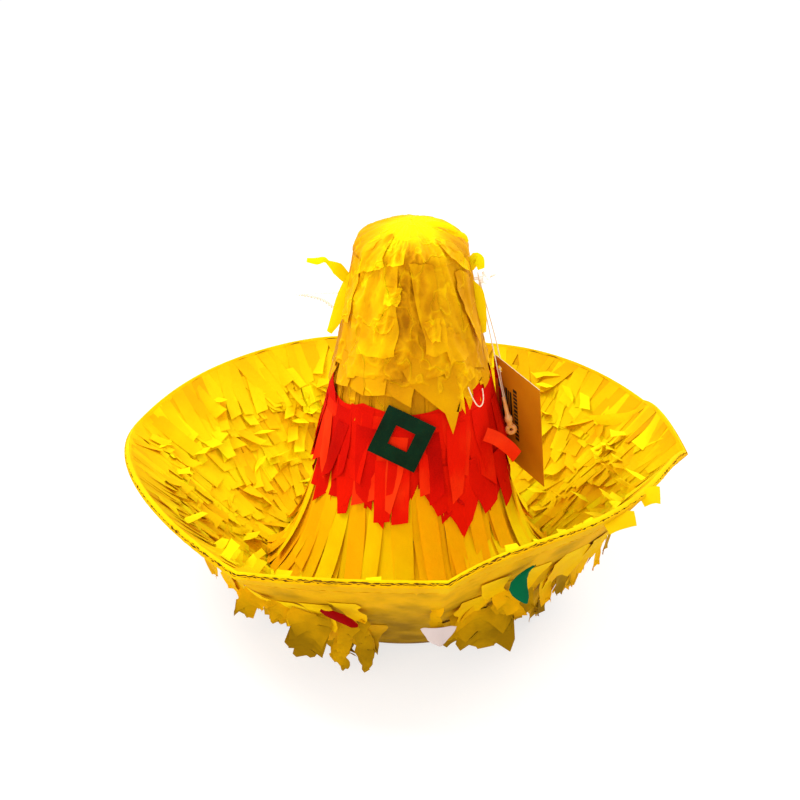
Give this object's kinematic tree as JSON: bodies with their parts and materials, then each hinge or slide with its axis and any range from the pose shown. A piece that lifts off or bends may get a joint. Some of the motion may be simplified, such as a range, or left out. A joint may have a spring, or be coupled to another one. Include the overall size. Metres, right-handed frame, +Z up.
{
  "type": "pinata",
  "caption": "Sombrero-shaped card pinata with an upturned brim, covered in yellow tissue strips, with a red band, card buckle, hanging cord and swing tag.",
  "frame": {"origin": "underside of the base disc, on the crown's axis, at the level the pinata stands on", "axes": "+Z up along the crown, -Y towards the front where the buckle is, +X to the side of the swing tag"},
  "size_m": [0.4098, 0.4039, 0.2813],
  "materials": {
    "corrugated_card": "matt brown corrugated board with a fluted cut edge",
    "thin_card": "matt grey-brown thin card",
    "paper_tape": "matt gummed paper tape",
    "yellow_tissue": "matt bright yellow tissue, cut in strips",
    "wrap_tissue": "crumpled glued yellow tissue with a faint sheen",
    "amber_tissue": "matt orange-yellow tissue, cut in strips",
    "red_tissue": "matt bright red tissue, cut in strips",
    "green_card": "matt very dark green card",
    "green_tissue": "matt green tissue",
    "white_tissue": "matt white tissue",
    "white_cord": "soft twisted white cotton cord",
    "cotton_string": "fine waxed cotton string",
    "lock_plastic": "moulded translucent plastic",
    "kraft_card": "smooth kraft card with plain printed bars"
  },
  "bodies": {
    "pinata": {"base_disc": "corrugated_card", "brim_board": "corrugated_card", "crown_shell": "thin_card", "crown_cap": "thin_card", "crown_seam_tape": "paper_tape", "crown_foot_tape": "paper_tape", "brim_seam_tape": "paper_tape", "rim_binding": "yellow_tissue", "under_wrap": "wrap_tissue", "crown_wrap": "wrap_tissue", "crown_fringe": "yellow_tissue", "red_fringe_upper": "red_tissue", "red_fringe_lower": "red_tissue", "skirt_fringe_upper": "amber_tissue", "skirt_fringe_lower": "amber_tissue", "buckle": "green_card", "green_patch": "green_tissue", "white_patch": "white_tissue", "red_patch": "red_tissue", "loose_thread": "cotton_string", "brim_fringe_1": "yellow_tissue", "brim_fringe_2": "yellow_tissue", "brim_fringe_3": "yellow_tissue", "brim_fringe_4": "yellow_tissue", "brim_fringe_5": "yellow_tissue", "under_fringe_1": "yellow_tissue", "under_fringe_2": "yellow_tissue", "under_fringe_3": "yellow_tissue"},
    "hanging_loop": {"hanging_cord": "white_cord", "cord_knot": "white_cord"},
    "tag_string": {"tag_string": "cotton_string", "tag_lock": "lock_plastic"},
    "tag": {"hang_tag": "kraft_card"},
    "fill_flap": {"fill_flap": "corrugated_card"}
  },
  "joints": [
    {"name": "loop_swing", "type": "hinge", "parent": "pinata", "child": "hanging_loop", "pos_m": [-0.001, 0, 0.2355], "axis": [0.9944, 0, 0.1053], "range_deg": [0, 140]},
    {"name": "string_swing", "type": "hinge", "parent": "pinata", "child": "tag_string", "pos_m": [0.0415, 0, 0.24], "axis": [0.9944, 0, 0.1053], "range_deg": [0, 45]},
    {"name": "tag_turn", "type": "hinge", "parent": "tag_string", "child": "tag", "pos_m": [0.064, 0.005, 0.17], "axis": [-0.8295, -0.5183, -0.2079], "range_deg": [0, 90]},
    {"name": "flap_fold", "type": "hinge", "parent": "pinata", "child": "fill_flap", "pos_m": [0, 0.0344, 0], "axis": [1, 0, 0], "range_deg": [0, 110]}
  ]
}
